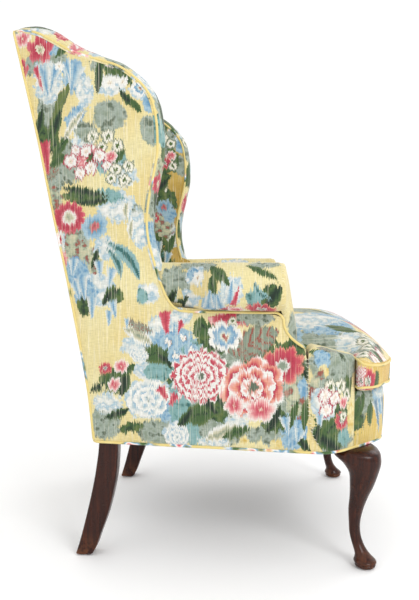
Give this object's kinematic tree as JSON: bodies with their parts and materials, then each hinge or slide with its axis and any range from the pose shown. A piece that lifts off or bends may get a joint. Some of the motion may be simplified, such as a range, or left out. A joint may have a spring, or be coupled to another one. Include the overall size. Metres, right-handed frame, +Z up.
{
  "type": "upholstered wing armchair",
  "caption": "Tall wing armchair with rolled arms, a loose T-shaped seat cushion, carved front legs and square raked rear legs, covered in floral cloth.",
  "frame": {"origin": "on the floor, at the middle of the bottom of the whole chair's box", "axes": "+Z up, the chair's front faces -Y, +X is the sitter's left"},
  "size_m": [0.768, 0.8478, 1.1687],
  "materials": {
    "cover": "glazed printed cotton with a woven slub, floral, warp-printed",
    "deck_cloth": "plain woven cotton",
    "show_wood": "satin polished mahogany, lightly distressed",
    "frame_wood": "unfinished sawn hardwood",
    "jute": "woven jute strap",
    "spring_steel": "drawn steel wire",
    "dust_cloth": "black bonded cloth",
    "glide_metal": "nickel plated"
  },
  "bodies": {
    "chair": {"outside_panel_left": "cover", "outside_panel_right": "cover", "wing_boxing_left": "cover", "wing_boxing_right": "cover", "inside_wing_left": "cover", "inside_wing_right": "cover", "arm_pad_left": "cover", "arm_pad_right": "cover", "arm_facing_left": "cover", "arm_facing_right": "cover", "corner_post_cover_left": "cover", "corner_post_cover_right": "cover", "front_border": "cover", "inside_back": "cover", "outside_back": "cover", "seat_deck": "deck_cloth", "front_leg_left": "show_wood", "front_leg_right": "show_wood", "rear_post_left": "show_wood", "rear_post_right": "show_wood", "front_rail": "frame_wood", "rear_rail": "frame_wood", "side_rail_left": "frame_wood", "side_rail_right": "frame_wood", "corner_block_front_left": "frame_wood", "corner_block_front_right": "frame_wood", "corner_block_rear_left": "frame_wood", "corner_block_rear_right": "frame_wood", "crest_rail": "frame_wood", "lower_back_rail": "frame_wood", "arm_stump_left": "frame_wood", "arm_stump_right": "frame_wood", "arm_rail_left": "frame_wood", "arm_rail_right": "frame_wood", "wing_upright_left": "frame_wood", "wing_upright_right": "frame_wood", "wing_top_rail_left": "frame_wood", "wing_top_rail_right": "frame_wood", "webbing_lengthwise_left": "jute", "webbing_lengthwise_centre": "jute", "webbing_lengthwise_right": "jute", "webbing_crosswise_front": "jute", "webbing_crosswise_middle": "jute", "webbing_crosswise_rear": "jute", "seat_spring_front_left": "spring_steel", "seat_spring_front_centre": "spring_steel", "seat_spring_front_right": "spring_steel", "seat_spring_middle_left": "spring_steel", "seat_spring_middle_centre": "spring_steel", "seat_spring_middle_right": "spring_steel", "seat_spring_rear_left": "spring_steel", "seat_spring_rear_centre": "spring_steel", "seat_spring_rear_right": "spring_steel", "dust_cover": "dust_cloth", "foot_glide_front_left": "glide_metal", "foot_glide_front_right": "glide_metal", "foot_glide_rear_left": "glide_metal", "foot_glide_rear_right": "glide_metal"},
    "cushion": {"seat_cushion": "cover"}
  },
  "joints": [
    {"name": "cushion_lift", "type": "slide", "parent": "chair", "child": "cushion", "axis": [0, -0.5, 0.866], "range_m": [0, 0.35]}
  ]
}
